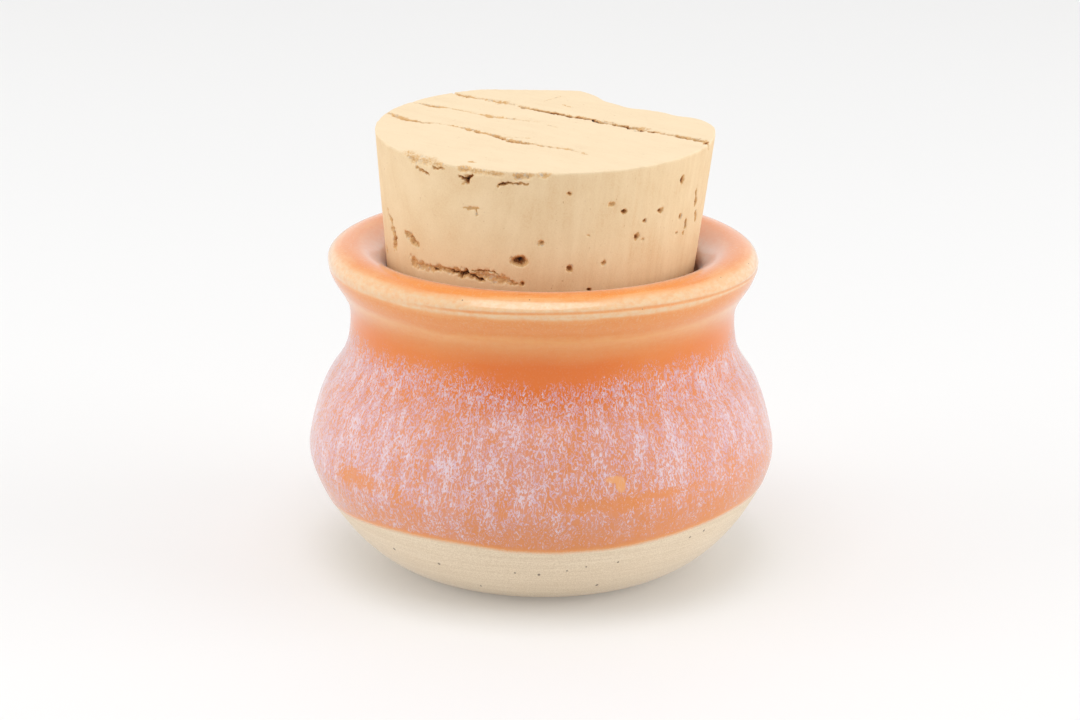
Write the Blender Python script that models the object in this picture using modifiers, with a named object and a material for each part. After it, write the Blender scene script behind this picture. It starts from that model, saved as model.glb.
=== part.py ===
"""Small wheel-thrown stoneware jar with a flared lip, stopped with a tapered natural cork.

Metres, +Z up. The jar stands on its foot at the origin, and -Y is the front.
Run with: blender --background --python part.py
"""
from math import cos, radians, sin

import bmesh
import bpy
from mathutils import Matrix, Vector

MM = 0.001

# Jar: radii and heights of its turned outline. The body is a smooth spline pulled towards BODY_PULLS.
FOOT_RADIUS = 17.4 * MM
BODY_PULLS = (
    (20.9 * MM, 0.1 * MM),
    (27.7 * MM, 5.4 * MM),
    (32.3 * MM, 14.6 * MM),
    (32.0 * MM, 17.6 * MM),
    (29.7 * MM, 26.9 * MM),
    (26.2 * MM, 29.0 * MM),
)
NECK_RADIUS = 26.2 * MM
NECK_HEIGHT = 34.8 * MM
LIP_RADIUS = 29.2 * MM
LIP_HEIGHT = 42.6 * MM
CREST_RADIUS = 26.1 * MM
CREST_HEIGHT = 44.6 * MM
THROAT_RADIUS = 21.6 * MM
THROAT_HEIGHT = 39.4 * MM
POCKET_RADIUS = 20.8 * MM
POCKET_FLOOR = 29.4 * MM

# How far the curves of the lip are pulled at their ends.
NECK_PULL = 3.6 * MM
LIP_PULL_DOWN = 2.9 * MM
LIP_PULL_UP = 1.1 * MM
CREST_PULL_OUT = 1.7 * MM
CREST_PULL_IN = 2.6 * MM
THROAT_PULL = 2.0 * MM

JAR_SIDES = 80
BODY_ROWS = 20

# Cork: a cone whose axis leans a little about the seat, the place where the throat grips it.
CORK_TOP_RADIUS = 22.9 * MM
CORK_TAPER = 0.1015
CORK_RISE = 22.3 * MM
CORK_LENGTH = 30.0 * MM
CORK_EDGE = 0.35 * MM
SEAT_HEIGHT = 38.4 * MM
LEAN_RIGHT = radians(0.2)
LEAN_FRONT = radians(2.0)
CORK_SKEW = 0.022
CORK_SHIFT = 0.1 * MM
CORK_SIDES = 72

# Cracks follow the growth layers, straight lines turned by this angle on the top face.
GRAIN_TURN = radians(-37.3)

# Top cracks: distance across the grain, start and end along it, half width, waviness.
TOP_CRACKS = {
    "back": (7.3, -22.8, 22.8, 0.42, 0.45),
    "middle": (0.4, -20.5, 2.0, 0.26, 0.8),
    "front": (-7.8, -21.0, 13.2, 0.38, 0.35),
}

# Pits in the side: azimuth in degrees (-90 is the front), depth under the top, width, height, sink.
BIG_PIT = (-97.9, 12.2, 2.7, 1.7, 1.3)
SIDE_PITS = (
    (-67.0, 4.7, 1.1, 1.0, 0.5),
    (-62.3, 5.9, 1.2, 0.8, 0.6),
    (-46.6, 6.6, 0.9, 0.8, 0.5),
    (-37.1, 3.3, 0.8, 1.3, 0.5),
    (-35.0, 8.4, 0.6, 0.7, 0.4),
    (-53.5, 7.7, 0.6, 0.7, 0.4),
    (-30.5, 10.3, 0.8, 1.6, 0.5),
    (-56.3, 9.7, 0.8, 1.1, 0.5),
    (-81.9, 2.8, 0.7, 0.4, 0.3),
    (-90.1, 9.4, 1.1, 0.9, 0.4),
    (-80.3, 13.2, 1.0, 1.2, 0.5),
    (-67.9, 12.6, 0.8, 0.9, 0.4),
    (-96.5, 15.4, 0.8, 0.9, 0.5),
    (-115.0, 5.6, 1.9, 0.6, 0.4),
    (-142.0, 12.0, 1.6, 1.3, 0.6),
    (-156.5, 12.2, 0.9, 3.6, 0.6),
)
BACK_PITS = 9

# Chips broken out of the top edge, in the same five numbers.
EDGE_CHIPS = (
    (-139.0, 0.1, 3.4, 1.2, 0.8),
    (-128.0, 0.5, 2.6, 1.3, 0.9),
    (-116.8, 1.2, 2.0, 1.7, 1.3),
    (-108.0, 0.2, 3.6, 0.9, 0.8),
    (-99.5, 1.1, 2.6, 0.9, 0.9),
    (-94.0, 0.3, 1.8, 1.0, 0.7),
)

# Ragged crack low on the left of the side: azimuths of its ends, depth under the top, half width.
SIDE_CRACK = (-143.0, -97.5, 14.9, 0.55)

# Missing piece at the back right of the top, split off along the grain.
BREAK_ACROSS = 16.9 * MM
BREAK_START = -6.0 * MM
BREAK_LENGTH = 28.0 * MM
BREAK_DEPTH = 8.5 * MM
BREAK_ROUND = 3.2 * MM
BREAK_LEAN = 0.62
BREAK_WIDTH = 16.0 * MM


def clear_scene():
    for thing in list(bpy.data.objects):
        bpy.data.objects.remove(thing, do_unlink=True)


def new_collection(name):
    group = bpy.data.collections.new(name)
    bpy.context.scene.collection.children.link(group)
    return group


def new_material(name, colour, roughness):
    material = bpy.data.materials.new(name)
    material.use_nodes = True
    shader = material.node_tree.nodes["Principled BSDF"]
    shader.inputs["Base Color"].default_value = (*colour, 1.0)
    shader.inputs["Roughness"].default_value = roughness
    shader.inputs["Metallic"].default_value = 0.0
    return material


def bezier(start, pull_out, pull_in, end, count):
    """Points of a cubic curve as (radius, height), without its first point."""
    points = []
    for step in range(1, count + 1):
        t = step / count
        weights = ((1 - t) ** 3, 3 * (1 - t) ** 2 * t, 3 * (1 - t) * t ** 2, t ** 3)
        knots = (start, pull_out, pull_in, end)
        radius = sum(w * k[0] for w, k in zip(weights, knots))
        height = sum(w * k[1] for w, k in zip(weights, knots))
        points.append((radius, height))
    return points


def spline(pulls, count):
    """Points of a cubic B-spline that starts and ends on its first and last pull, without the last point."""
    degree = 3
    spans = len(pulls) - degree
    knots = [0.0] * degree + [float(i) for i in range(spans + 1)] + [float(spans)] * degree
    points = []
    for step in range(count):
        t = spans * step / count
        span = degree + int(t)
        work = [Vector(pulls[span - degree + i]) for i in range(degree + 1)]
        for level in range(1, degree + 1):
            for i in range(degree, level - 1, -1):
                low = knots[span - degree + i]
                high = knots[span + 1 + i - level]
                work[i] = work[i - 1].lerp(work[i], (t - low) / (high - low))
        points.append(tuple(work[degree]))
    return points


def jar_outline():
    """From the middle of the pocket's floor up the throat, over the lip and down the outside."""
    throat = (THROAT_RADIUS, THROAT_HEIGHT)
    crest = (CREST_RADIUS, CREST_HEIGHT)
    lip = (LIP_RADIUS, LIP_HEIGHT)
    neck = (NECK_RADIUS, NECK_HEIGHT)
    foot = (FOOT_RADIUS, 0.0)
    points = [(0.0, POCKET_FLOOR), (POCKET_RADIUS, POCKET_FLOOR), throat]
    points += bezier(throat, (throat[0], throat[1] + THROAT_PULL), (crest[0] - CREST_PULL_IN, crest[1]), crest, 7)
    points += bezier(crest, (crest[0] + CREST_PULL_OUT, crest[1]), (lip[0], lip[1] + LIP_PULL_UP), lip, 4)
    points += bezier(lip, (lip[0], lip[1] - LIP_PULL_DOWN), (neck[0], neck[1] + NECK_PULL), neck, 6)
    body = spline([neck, *reversed(BODY_PULLS), foot], BODY_ROWS)
    points += body[1:]
    points += [foot, (0.0, 0.0)]
    return points


def turned(name, outline, sides, group):
    """A solid of revolution: the outline as an open chain of edges with a Screw modifier."""
    mesh = bpy.data.meshes.new(name)
    corners = [(radius, 0.0, height) for radius, height in outline]
    mesh.from_pydata(corners, [(i, i + 1) for i in range(len(corners) - 1)], [])
    body = bpy.data.objects.new(name, mesh)
    group.objects.link(body)
    screw = body.modifiers.new("turn", "SCREW")
    screw.axis = "Z"
    screw.steps = sides
    screw.render_steps = sides
    screw.use_merge_vertices = True
    screw.merge_threshold = 0.000001
    return body


def applied(body):
    """Replaces the object's mesh with its evaluated one and drops the modifiers."""
    bpy.context.view_layer.update()
    graph = bpy.context.evaluated_depsgraph_get()
    mesh = bpy.data.meshes.new_from_object(body.evaluated_get(graph))
    body.modifiers.clear()
    body.data = mesh
    return body


def smooth(body, angle=radians(35)):
    body.data.shade_smooth()
    body.data.set_sharp_from_angle(angle=angle)


def cork_radius(depth):
    return CORK_TOP_RADIUS - CORK_TAPER * depth


def cork_outline():
    """From the middle of the top out to the edge, down the side and in to the middle of the bottom."""
    points = [(0.0, 0.0)]
    points += [(CORK_TOP_RADIUS * share, 0.0) for share in (0.3, 0.6, 0.82)]
    points.append((CORK_TOP_RADIUS - CORK_EDGE, 0.0))
    rows = (CORK_EDGE, 3 * MM, 6 * MM, 9 * MM, 12 * MM, 15 * MM, 19 * MM, 24 * MM)
    points += [(cork_radius(depth), -depth) for depth in rows]
    bottom = CORK_LENGTH - CORK_EDGE
    points.append((cork_radius(bottom), -bottom))
    points.append((cork_radius(CORK_LENGTH) - CORK_EDGE, -CORK_LENGTH))
    points.append((0.0, -CORK_LENGTH))
    return points


def on_side(azimuth, depth, sink=0.0):
    angle = radians(azimuth)
    radius = cork_radius(depth) - sink
    return Vector((radius * cos(angle), radius * sin(angle), -depth))


def cutter(name, mesh, group):
    body = bpy.data.objects.new(name, mesh)
    group.objects.link(body)
    body.hide_render = True
    body.display_type = "WIRE"
    return body


def pit_cutter(name, pit, group):
    """An egg-shaped hollow across the side's surface."""
    azimuth, depth, width, height, sink = pit
    mesh = bpy.data.meshes.new(name)
    shape = bmesh.new()
    bmesh.ops.create_icosphere(shape, subdivisions=2, radius=1.0)
    bmesh.ops.scale(shape, verts=shape.verts, vec=(sink * MM, 0.5 * width * MM, 0.5 * height * MM))
    turn = Matrix.Rotation(radians(azimuth), 4, "Z")
    place = Matrix.Translation(on_side(azimuth, depth * MM))
    bmesh.ops.transform(shape, matrix=place @ turn, verts=shape.verts)
    shape.to_mesh(mesh)
    shape.free()
    return cutter(name, mesh, group)


def tube_cutter(name, route, radii, group):
    """A round channel along a route, thinner where the radii are smaller."""
    curve = bpy.data.curves.new(name, "CURVE")
    curve.dimensions = "3D"
    curve.bevel_depth = 1.0 * MM
    curve.bevel_resolution = 1
    curve.use_fill_caps = True
    spline = curve.splines.new("POLY")
    spline.points.add(len(route) - 1)
    for point, place, radius in zip(spline.points, route, radii):
        point.co = (*place, 1.0)
        point.radius = radius
    guide = bpy.data.objects.new(name + "_route", curve)
    group.objects.link(guide)
    bpy.context.view_layer.update()
    graph = bpy.context.evaluated_depsgraph_get()
    mesh = bpy.data.meshes.new_from_object(guide.evaluated_get(graph))
    bpy.data.objects.remove(guide, do_unlink=True)
    shape = bmesh.new()
    shape.from_mesh(mesh)
    bmesh.ops.remove_doubles(shape, verts=shape.verts, dist=0.000001)
    bmesh.ops.recalc_face_normals(shape, faces=shape.faces)
    shape.to_mesh(mesh)
    shape.free()
    return cutter(name, mesh, group)


def top_crack_cutter(name, crack, group):
    across, start, end, half_width, wave = crack
    steps = 14
    turn = Matrix.Rotation(GRAIN_TURN, 4, "Z")
    route = []
    radii = []
    for step in range(steps + 1):
        t = step / steps
        along = start + (end - start) * t
        sideways = across + wave * (0.6 * sin(7.0 * t + across) + 0.4 * sin(17.0 * t))
        route.append(turn @ Vector((along * MM, sideways * MM, 0.05 * MM)))
        swell = 0.75 + 0.25 * sin(11.0 * t + 2.0 * across)
        radii.append(half_width * swell * min(1.0, 0.45 + 4.0 * t, 0.45 + 4.0 * (1 - t)))
    return tube_cutter(name, route, radii, group)


def side_crack_cutter(group):
    first, last, depth, half_width = SIDE_CRACK
    steps = 16
    route = []
    radii = []
    for step in range(steps + 1):
        t = step / steps
        down = depth + 0.35 * sin(9.0 * t) + 0.25 * sin(23.0 * t)
        route.append(on_side(first + (last - first) * t, down * MM, 0.1 * MM))
        radii.append(half_width * (0.65 + 0.35 * sin(13.0 * t + 1.0)) * min(1.0, 0.5 + 3.0 * (1 - t)))
    return tube_cutter("side_crack", route, radii, group)


def break_cutter(group):
    """A block with rounded edges, its inner face along the grain."""
    mesh = bpy.data.meshes.new("broken_away")
    shape = bmesh.new()
    bmesh.ops.create_cube(shape, size=1.0)
    bmesh.ops.scale(shape, verts=shape.verts, vec=(BREAK_LENGTH, BREAK_WIDTH, 2.0 * BREAK_DEPTH))
    centre = Vector((BREAK_START + 0.5 * BREAK_LENGTH, BREAK_ACROSS + 0.5 * BREAK_WIDTH, 0.0))
    bmesh.ops.translate(shape, verts=shape.verts, vec=centre)
    bmesh.ops.bevel(
        shape, geom=list(shape.edges), offset=BREAK_ROUND, offset_type="OFFSET", segments=3, profile=0.5, affect="EDGES"
    )
    # the broken face leans out towards its foot
    for corner in shape.verts:
        corner.co.y -= BREAK_LEAN * corner.co.z
    bmesh.ops.transform(shape, matrix=Matrix.Rotation(GRAIN_TURN, 4, "Z"), verts=shape.verts)
    shape.to_mesh(mesh)
    shape.free()
    return cutter("broken_away", mesh, group)


def back_pits():
    """Pits on the unseen half, spread by the golden angle like those that show."""
    golden = 137.5
    pits = []
    for index in range(BACK_PITS):
        azimuth = 20.0 + (index * golden) % 150.0
        depth = 7.0 + (index * 5.3) % 12.0
        pits.append((azimuth, depth, 0.9 + 0.25 * (index % 3), 0.8 + 0.2 * (index % 4), 0.5))
    return pits


def build_jar(group):
    jar = turned("jar", jar_outline(), JAR_SIDES, group)
    applied(jar)
    smooth(jar)
    jar.data.materials.append(new_material("glazed stoneware", (0.78, 0.42, 0.25), 0.25))
    return jar


def build_cork(group, cutters):
    cork = turned("cork", cork_outline(), CORK_SIDES, group)
    applied(cork)
    for name, crack in TOP_CRACKS.items():
        top_crack_cutter("crack_" + name, crack, cutters)
    side_crack_cutter(cutters)
    break_cutter(cutters)
    hollows = [BIG_PIT, *SIDE_PITS, *EDGE_CHIPS, *back_pits()]
    for index, pit in enumerate(hollows):
        pit_cutter(f"pit_{index + 1}", pit, cutters)
    carve = cork.modifiers.new("carve", "BOOLEAN")
    carve.operation = "DIFFERENCE"
    carve.operand_type = "COLLECTION"
    carve.collection = cutters
    carve.solver = "EXACT"
    applied(cork)
    for body in list(cutters.objects):
        bpy.data.objects.remove(body, do_unlink=True)
    # the stopper was cut a little askew, so its lower end lies to the left
    for corner in cork.data.vertices:
        corner.co.x += CORK_SKEW * corner.co.z
    smooth(cork)
    lean = Matrix.Rotation(LEAN_RIGHT, 4, "Y") @ Matrix.Rotation(LEAN_FRONT, 4, "X")
    seat = Matrix.Translation((CORK_SHIFT, 0.0, SEAT_HEIGHT))
    cork.matrix_world = seat @ lean @ Matrix.Translation((0.0, 0.0, CORK_RISE))
    cork.data.materials.append(new_material("natural cork", (0.83, 0.66, 0.44), 0.85))
    return cork


def main():
    clear_scene()
    group = new_collection("corked jar")
    cutters = new_collection("cutters")
    build_jar(group)
    build_cork(group, cutters)


main()
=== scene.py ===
"""Looks of a small wheel-thrown stoneware jar with a speckled orange glaze, stopped with a natural cork.

Metres, +Z up and -Y to the front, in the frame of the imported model.
"""
from math import cos, pi, radians, sin

import bmesh
import bpy
import numpy as np
from bpy.props import FloatProperty, FloatVectorProperty, IntProperty, PointerProperty
from mathutils import Matrix, Vector, noise


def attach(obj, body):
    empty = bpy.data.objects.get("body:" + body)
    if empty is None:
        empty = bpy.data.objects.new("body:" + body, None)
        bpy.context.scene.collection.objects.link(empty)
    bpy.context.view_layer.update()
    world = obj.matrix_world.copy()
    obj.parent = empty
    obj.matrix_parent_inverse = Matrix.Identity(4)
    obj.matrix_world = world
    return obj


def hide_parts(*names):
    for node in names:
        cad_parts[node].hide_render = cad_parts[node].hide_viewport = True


bl_info = {
    "name": "Corked stoneware jar",
    "version": (1, 0, 0),
    "blender": (4, 5, 0),
    "location": "3D View > Sidebar > Jar",
    "description": "Throws, glazes and corks a small stoneware jar",
    "category": "Object",
}

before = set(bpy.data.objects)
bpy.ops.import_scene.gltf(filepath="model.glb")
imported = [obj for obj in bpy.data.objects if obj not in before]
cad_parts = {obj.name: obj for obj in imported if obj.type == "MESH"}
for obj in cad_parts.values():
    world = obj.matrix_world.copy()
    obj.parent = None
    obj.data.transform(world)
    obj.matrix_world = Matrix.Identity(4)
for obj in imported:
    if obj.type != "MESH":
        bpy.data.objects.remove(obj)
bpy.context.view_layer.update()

MM = 0.001

# Body of the jar: a cubic spline from neck to foot, pulled towards these radii and heights in mm.
BODY_PULLS = ((26.2, 29.0), (29.7, 26.9), (32.0, 17.6), (32.3, 14.6), (27.7, 5.4), (20.9, 0.1))

# How far the curves of the lip are pulled at their ends, in mm.
NECK_PULL = 3.6
LIP_PULL_DOWN = 2.9
LIP_PULL_UP = 1.1
CREST_PULL_OUT = 1.7
CREST_PULL_IN = 2.6
THROAT_PULL = 1.2

# Radius in mm at which a turn round the jar is measured for its patterns.
WRAP_RADIUS = 30.0

# Waves of the dipped glaze's lower edge: turns round the jar, height in mm, phase in degrees.
GLAZE_WAVES = ((1, 0.92, 13.0), (2, 0.50, 120.0), (3, 0.90, 34.0), (5, 0.15, -114.0))

# Waves of the fine groove round the lip, in the same three numbers.
GROOVE_WAVES = ((1, 0.55, 72.0), (2, 0.20, 144.0))

# Bare orange places in the speckles: azimuth in degrees (-90 is the front), then height, half width
# and half height in mm.
PLAIN_PLACES = (
    (-138.0, 17.4, 4.6, 1.3), (-73.0, 17.6, 6.0, 1.1), (-60.0, 18.2, 3.6, 0.7), (40.0, 17.0, 5.0, 1.2),
)

# Ovals of one smooth drip between the speckles, in the same four numbers.
DRIP = ((-72.6, 20.8, 1.1, 0.45), (-70.8, 20.1, 0.65, 1.0))

# Iron specks in the lip's glaze: azimuth, height, size and distance from the axis in mm.
LIP_SPECKS = (
    (-93.4, 44.2, 0.13, 27.9), (-111.0, 43.8, 0.1, 28.6), (-64.1, 42.7, 0.14, 29.2),
    (-52.5, 43.1, 0.15, 29.1), (-34.1, 44.05, 0.14, 28.2), (-15.8, 43.8, 0.14, 28.6),
    (60.0, 43.2, 0.15, 29.1),
)

# Specks in the bare clay: azimuth, height and size.
CLAY_SPECKS = (
    (-134.0, 7.3, 0.22), (-118.9, 6.8, 0.2), (-108.7, 3.3, 0.15), (-96.8, 6.9, 0.14), (-90.3, 6.7, 0.2),
    (-82.8, 7.4, 0.13), (-77.8, 8.0, 0.13), (-69.2, 8.3, 0.15), (-72.5, 3.9, 0.22), (-43.9, 10.6, 0.18),
    (-48.5, 10.2, 0.16),
)

# Cracks in the cork's top: along and across the grain, half width and depth in mm, and darkness.
BACK_CRACK = (
    (-22.1, 7.1, 0.28, 0.3, 0.26), (-18.2, 6.5, 0.77, 0.6, 0.59), (-15.9, 7.0, 0.35, 0.4, 0.33),
    (-12.9, 7.2, 1.05, 0.4, 0.41), (-10.5, 7.2, 0.21, 0.2, 0.11), (-8.9, 6.7, 0.63, 0.8, 0.74),
    (-5.2, 6.9, 0.56, 0.6, 0.63), (-1.0, 7.3, 0.53, 0.6, 0.63), (1.9, 7.5, 0.42, 0.5, 0.51),
    (4.2, 7.5, 1.12, 0.4, 0.44), (5.8, 7.7, 0.31, 0.4, 0.41), (8.2, 7.4, 0.56, 0.8, 0.7),
    (10.3, 7.5, 1.33, 0.4, 0.39), (12.0, 7.6, 0.21, 0.3, 0.26), (13.6, 7.6, 0.7, 0.6, 0.59),
    (15.4, 7.9, 0.31, 0.4, 0.41), (17.2, 7.8, 0.7, 0.9, 0.74), (19.6, 7.9, 0.84, 0.6, 0.55),
    (21.2, 7.4, 0.25, 0.3, 0.33), (22.6, 6.6, 0.21, 0.4, 0.37),
)
# A darker line along the back crack: painted shade inside the thin crack.
BACK_LINE = (
    (-9.3, 6.7, 0.48, 0.5, 1.19), (-5.2, 6.9, 0.57, 0.6, 1.19), (-1.0, 7.3, 0.61, 0.6, 1.25),
    (1.9, 7.5, 0.57, 0.6, 1.25), (8.2, 7.4, 0.61, 0.6, 1.19), (13.6, 7.6, 0.39, 0.4, 0.86),
    (17.2, 7.8, 0.57, 0.6, 1.12), (21.2, 7.4, 0.48, 0.4, 1.05),
)
MIDDLE_CRACK = (
    (-22.8, -0.8, 0.26, 0.1, 0.2), (-20.4, -0.6, 0.45, 0.2, 0.4), (-19.2, -0.7, 0.72, 0.4, 0.62),
    (-16.5, -0.2, 0.33, 0.2, 0.4), (-12.0, 0.0, 0.2, 0.1, 0.2), (-9.4, 0.0, 0.78, 0.3, 0.48),
    (-6.0, 0.9, 0.39, 0.2, 0.32), (-2.5, 1.8, 0.2, 0.1, 0.12),
)
FRONT_CRACK = (
    (-21.1, -7.6, 0.5, 0.2, 0.38), (-18.0, -8.4, 0.75, 0.3, 0.48), (-16.4, -8.8, 0.6, 0.5, 0.7),
    (-14.2, -8.5, 0.32, 0.5, 0.85), (-12.0, -7.5, 0.18, 0.2, 0.25), (-9.2, -7.3, 0.3, 0.3, 0.45),
    (-6.9, -7.3, 0.6, 0.4, 0.6), (-4.9, -7.6, 0.45, 0.4, 0.6), (-2.8, -7.6, 0.45, 0.5, 0.65),
    (0.6, -8.5, 0.7, 1.0, 0.85), (2.7, -8.1, 0.65, 1.0, 0.9), (4.2, -7.8, 0.25, 0.5, 0.6),
    (7.0, -7.5, 0.3, 0.4, 0.6), (9.4, -6.9, 0.35, 0.3, 0.38), (12.9, -7.5, 0.12, 0.1, 0.22),
)
TOP_SCRATCHES = (
    ((-8.9, 15.1, 0.12, 0.1, 0.3), (-8.9, 11.4, 0.12, 0.1, 0.3)),
    ((-5.7, 11.5, 0.3, 0.2, 0.45), (-3.6, 11.2, 0.25, 0.2, 0.4)),
    ((-1.4, -7.4, 0.15, 0.1, 0.3), (1.9, -5.7, 0.15, 0.1, 0.3)),
    ((-0.5, 1.2, 0.25, 0.1, 0.25), (1.3, 1.1, 0.2, 0.1, 0.25)),
    ((3.1, -20.1, 0.2, 0.1, 0.5), (3.9, -19.8, 0.15, 0.1, 0.5)),
)
TOP_STROKES = (BACK_CRACK, BACK_LINE, MIDDLE_CRACK, FRONT_CRACK, *TOP_SCRATCHES)

# Edge of the broken-off side on the top, in mm: places along the grain, and how far the edge lies
# beyond the mean one.
BREAK_EDGE = (
    (-9.0, 3.3), (-5.3, 2.1), (-3.1, 0.7), (-0.6, 0.2), (2.0, -0.4), (4.5, 0.4), (7.5, 0.8), (9.5, 0.2),
    (12.1, 1.0), (14.0, 0.6), (17.0, -1.1),
)

# Slits in the cork's side: azimuth in degrees, depth under the top, half width and sink in mm,
# and darkness.
SIDE_STROKES = (
    (
        (-142.3, 14.9, 0.8, 0.3, 0.45), (-139.4, 15.3, 0.75, 0.3, 0.4), (-127.2, 14.7, 0.55, 0.35, 0.5),
        (-117.5, 14.8, 0.6, 0.45, 0.6), (-108.0, 14.7, 0.95, 0.3, 0.36), (-101.5, 15.1, 0.6, 0.3, 0.42),
        (-98.5, 15.4, 0.3, 0.3, 0.5),
    ),
    ((-131.5, 15.0, 0.22, 0.8, 1.0), (-129.3, 15.1, 0.16, 0.7, 0.9)),
    ((-124.0, 14.8, 0.16, 0.8, 1.0), (-120.8, 15.0, 0.26, 0.9, 1.0)),
    ((-119.4, 14.9, 0.45, 1.0, 0.95), (-116.8, 14.6, 0.5, 1.0, 0.9)),
    ((-115.8, 14.8, 0.18, 0.8, 1.0), (-112.8, 15.3, 0.22, 0.8, 1.0), (-109.8, 15.4, 0.1, 0.6, 0.9)),
    ((-115.0, 14.2, 0.12, 0.4, 0.7), (-107.0, 14.0, 0.14, 0.4, 0.7), (-103.6, 14.8, 0.12, 0.3, 0.6)),
    ((-117.4, 5.7, 0.22, 0.2, 0.42), (-112.2, 5.4, 0.38, 0.3, 0.42)),
    ((-112.9, 5.5, 0.2, 0.2, 0.5), (-112.7, 6.4, 0.15, 0.2, 0.4)),
    (
        (-160.6, 9.6, 0.25, 0.2, 0.35), (-156.6, 11.4, 0.7, 0.4, 0.6), (-155.0, 12.7, 1.0, 0.5, 0.65),
        (-155.6, 14.4, 0.7, 0.4, 0.6),
    ),
    ((-145.6, 11.4, 0.55, 0.4, 0.55), (-141.8, 11.9, 0.8, 0.5, 0.6), (-138.6, 12.6, 0.4, 0.3, 0.45)),
    ((-25.4, 5.8, 0.25, 0.3, 0.6), (-24.0, 7.7, 0.5, 0.4, 0.7)),
    ((-22.4, 9.2, 0.4, 0.3, 0.6), (-21.4, 10.3, 0.4, 0.3, 0.6)),
    ((-30.4, 9.6, 0.3, 0.5, 0.9), (-30.2, 10.3, 0.45, 0.6, 0.9)),
    ((-128.9, 0.9, 0.25, 0.4, 0.6), (-124.8, 0.75, 0.2, 0.3, 0.5)),
    ((-137.0, 1.4, 0.18, 0.3, 0.5), (-131.2, 2.0, 0.28, 0.4, 0.8)),
    ((-118.6, 1.35, 0.26, 0.7, 0.8), (-116.5, 1.75, 0.55, 0.9, 0.95), (-114.0, 1.0, 0.2, 0.5, 0.75)),
    ((-104.8, 1.95, 0.32, 0.6, 0.95), (-102.4, 1.6, 0.26, 0.5, 0.75), (-95.2, 1.55, 0.16, 0.3, 0.5)),
)

# Pits in the cork's side: azimuth in degrees, depth under the top, width, height and sink in mm,
# and darkness.
SIDE_PITS = (
    (-97.9, 12.2, 3.0, 1.8, 1.2, 0.95), (-67.0, 4.7, 1.3, 0.9, 0.4, 0.6), (-62.3, 5.9, 1.3, 0.9, 0.5, 0.95),
    (-46.7, 6.7, 1.3, 1.0, 0.5, 0.75), (-36.8, 3.3, 1.3, 1.5, 0.5, 0.85), (-34.9, 8.5, 1.0, 1.0, 0.4, 0.75),
    (-53.5, 7.7, 0.9, 0.8, 0.4, 0.75), (-35.9, 10.7, 0.9, 0.6, 0.3, 0.5), (-30.9, 11.2, 0.8, 0.8, 0.3, 0.5),
    (-56.2, 9.7, 1.3, 1.2, 0.5, 0.8), (-53.2, 10.2, 0.6, 0.5, 0.2, 0.3), (-74.5, 8.7, 1.0, 0.5, 0.15, 0.3),
    (-81.9, 2.8, 1.0, 0.5, 0.3, 0.85), (-90.6, 9.6, 1.3, 1.0, 0.4, 0.6), (-80.3, 13.2, 1.2, 1.3, 0.5, 0.8),
    (-68.2, 12.7, 1.0, 1.0, 0.4, 0.6), (-96.6, 15.4, 0.9, 0.9, 0.5, 0.8), (-72.8, 16.3, 1.0, 0.6, 0.5, 0.9),
    (-167.5, 16.1, 1.6, 1.4, 0.5, 0.6), (-143.0, -0.7, 3.0, 3.0, 0.35, 0.2),
    (-138.6, -0.1, 3.6, 3.4, 0.6, 0.3), (-133.0, -0.4, 5.0, 3.4, 0.55, 0.26),
    (-127.6, 0.1, 3.0, 1.6, 0.35, 0.26), (-117.0, 0.0, 2.8, 2.0, 0.7, 0.42),
    (-112.0, 0.2, 4.8, 1.6, 0.45, 0.26), (-106.5, 0.4, 4.0, 1.3, 0.4, 0.24),
    (-98.4, 0.5, 2.2, 1.7, 0.5, 0.42), (-95.5, 0.4, 2.2, 1.5, 0.4, 0.28),
    (-90.3, 0.1, 2.4, 1.8, 0.45, 0.34),
)

# Pits on the cork's far side, spread by the golden angle.
BACK_PITS = 14
GOLDEN_ANGLE = 137.5

# Inputs of the throwing nodes, apart from the outline and the finish. Each is a size of the jar.
THROWN = ("Glaze line", "Glaze thickness", "Groove height", "Groove depth", "Ring depth", "Wobble", "Seed")

# Heights in mm between which the glaze's colour bands lie.
BAND_LOW = 8.0
BAND_HIGH = 46.0

CLAY_ROUGHNESS = 0.85

# Soft lamps: name, place, size, power, and whether the glaze mirrors them.
LAMPS = (
    ("softbox above", (-0.12, -0.35, 1.45), (1.0, 1.0), 8.8, True),
    ("softbox left", (-0.64, -0.12, 0.24), (0.5, 0.36), 1.15, False),
    ("softbox right", (0.64, -0.12, 0.24), (0.5, 0.36), 1.6, False),
)
LAMP_TARGET = (0.0, 0.0, 0.03)

# Half the width of the floor.
FLOOR_REACH = 6.0


def linear(red, green, blue):
    """Scene-linear colour of a display colour given in 0-255."""
    shares = [channel / 255.0 for channel in (red, green, blue)]
    return tuple(s / 12.92 if s <= 0.04045 else ((s + 0.055) / 1.055) ** 2.4 for s in shares)


def length(name, description, millimetres, low=0.0):
    own = {"name": name, "description": description, "default": millimetres * MM, "min": low}
    return FloatProperty(**own, precision=5, subtype="DISTANCE", unit="LENGTH")


def angle(name, description, degrees):
    own = {"name": name, "description": description, "default": radians(degrees)}
    return FloatProperty(**own, subtype="ANGLE", unit="ROTATION")


def share(name, description, value, high=1.0):
    return FloatProperty(name=name, description=description, default=value, min=0.0, max=high)


def colour(name, description, *display):
    own = {"name": name, "description": description, "default": linear(*display)}
    return FloatVectorProperty(**own, size=3, min=0.0, max=1.0, subtype="COLOR")


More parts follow.
